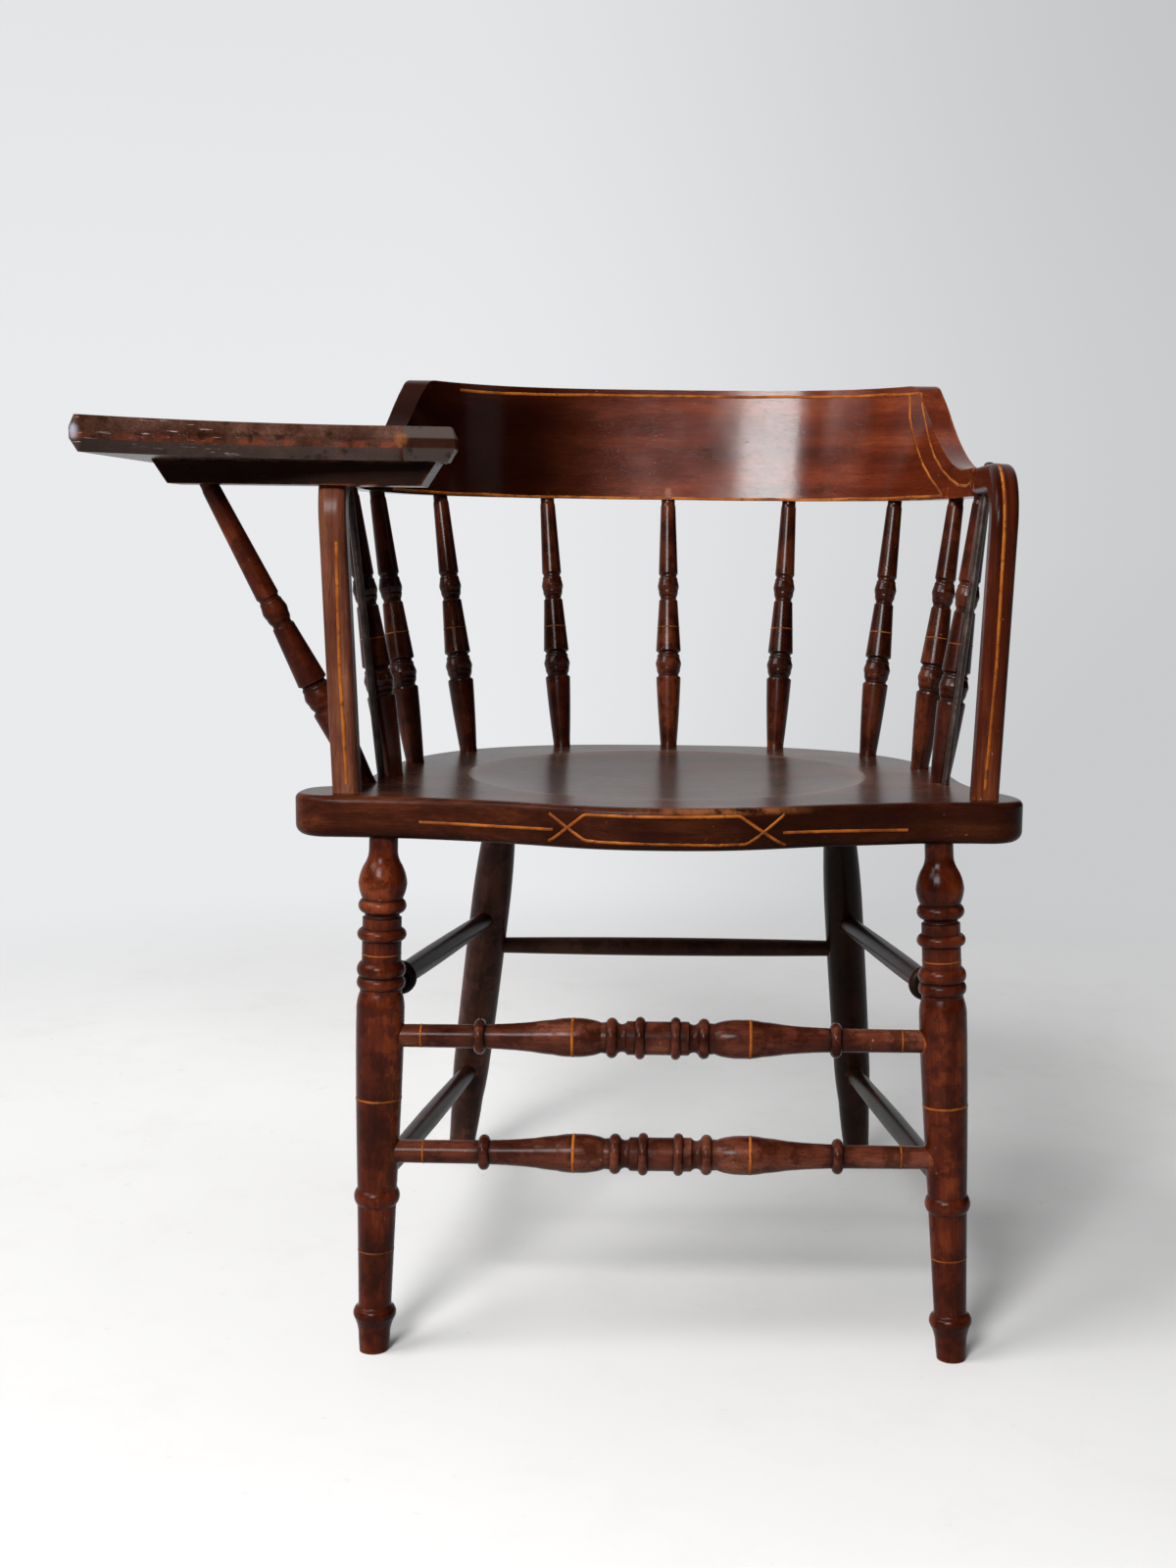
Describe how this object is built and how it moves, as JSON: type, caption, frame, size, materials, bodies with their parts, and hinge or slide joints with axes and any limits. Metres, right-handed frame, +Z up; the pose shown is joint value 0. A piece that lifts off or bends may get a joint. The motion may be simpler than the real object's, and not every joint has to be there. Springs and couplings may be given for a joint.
{
  "type": "writing arm windsor chair",
  "caption": "Low-back Windsor armchair with turned legs, stretchers and spindles, a bent crest rail, iron tie rods, and a writing tablet on the sitter's right arm.",
  "frame": {"origin": "on the floor below the middle of the chair's outer box", "axes": "+Z up, +Y from the chair's front to its back, +X to the sitter's left"},
  "size_m": [0.6784, 0.5818, 0.771],
  "materials": {
    "seat_wood": "dark stain under worn varnish, satin",
    "turned_wood": "dark red-brown stain, semi-gloss varnish, worn on the ridges",
    "bent_wood": "dark red-brown stain, semi-gloss varnish, painted pinstripes",
    "tablet_wood": "dark brown stain, worn varnish, scratched edges",
    "dowel_wood": "raw birch",
    "iron": "dark iron, lightly rusted",
    "screw_steel": "dull steel"
  },
  "bodies": {
    "root": {"seat": "seat_wood", "front_leg_right": "turned_wood", "front_leg_left": "turned_wood", "rear_leg_right": "turned_wood", "rear_leg_left": "turned_wood", "front_stretcher_upper": "turned_wood", "front_stretcher_lower": "turned_wood", "side_stretcher_upper_right": "turned_wood", "side_stretcher_upper_left": "turned_wood", "side_stretcher_lower_right": "turned_wood", "side_stretcher_lower_left": "turned_wood", "rear_stretcher": "turned_wood", "spindle_centre": "turned_wood", "spindle_right_1": "turned_wood", "spindle_right_2": "turned_wood", "spindle_right_3": "turned_wood", "spindle_right_4": "turned_wood", "spindle_left_1": "turned_wood", "spindle_left_2": "turned_wood", "spindle_left_3": "turned_wood", "spindle_left_4": "turned_wood", "tablet_brace": "turned_wood", "crest_rail": "bent_wood", "arm_right": "bent_wood", "arm_left": "bent_wood", "writing_tablet": "tablet_wood", "tablet_batten": "tablet_wood", "tie_rod_right": "iron", "tie_rod_left": "iron", "tie_rod_washers": "iron", "tie_rod_nuts": "iron", "crest_dowels": "dowel_wood", "batten_screws": "screw_steel", "arm_screw": "screw_steel"}
  },
  "joints": []
}
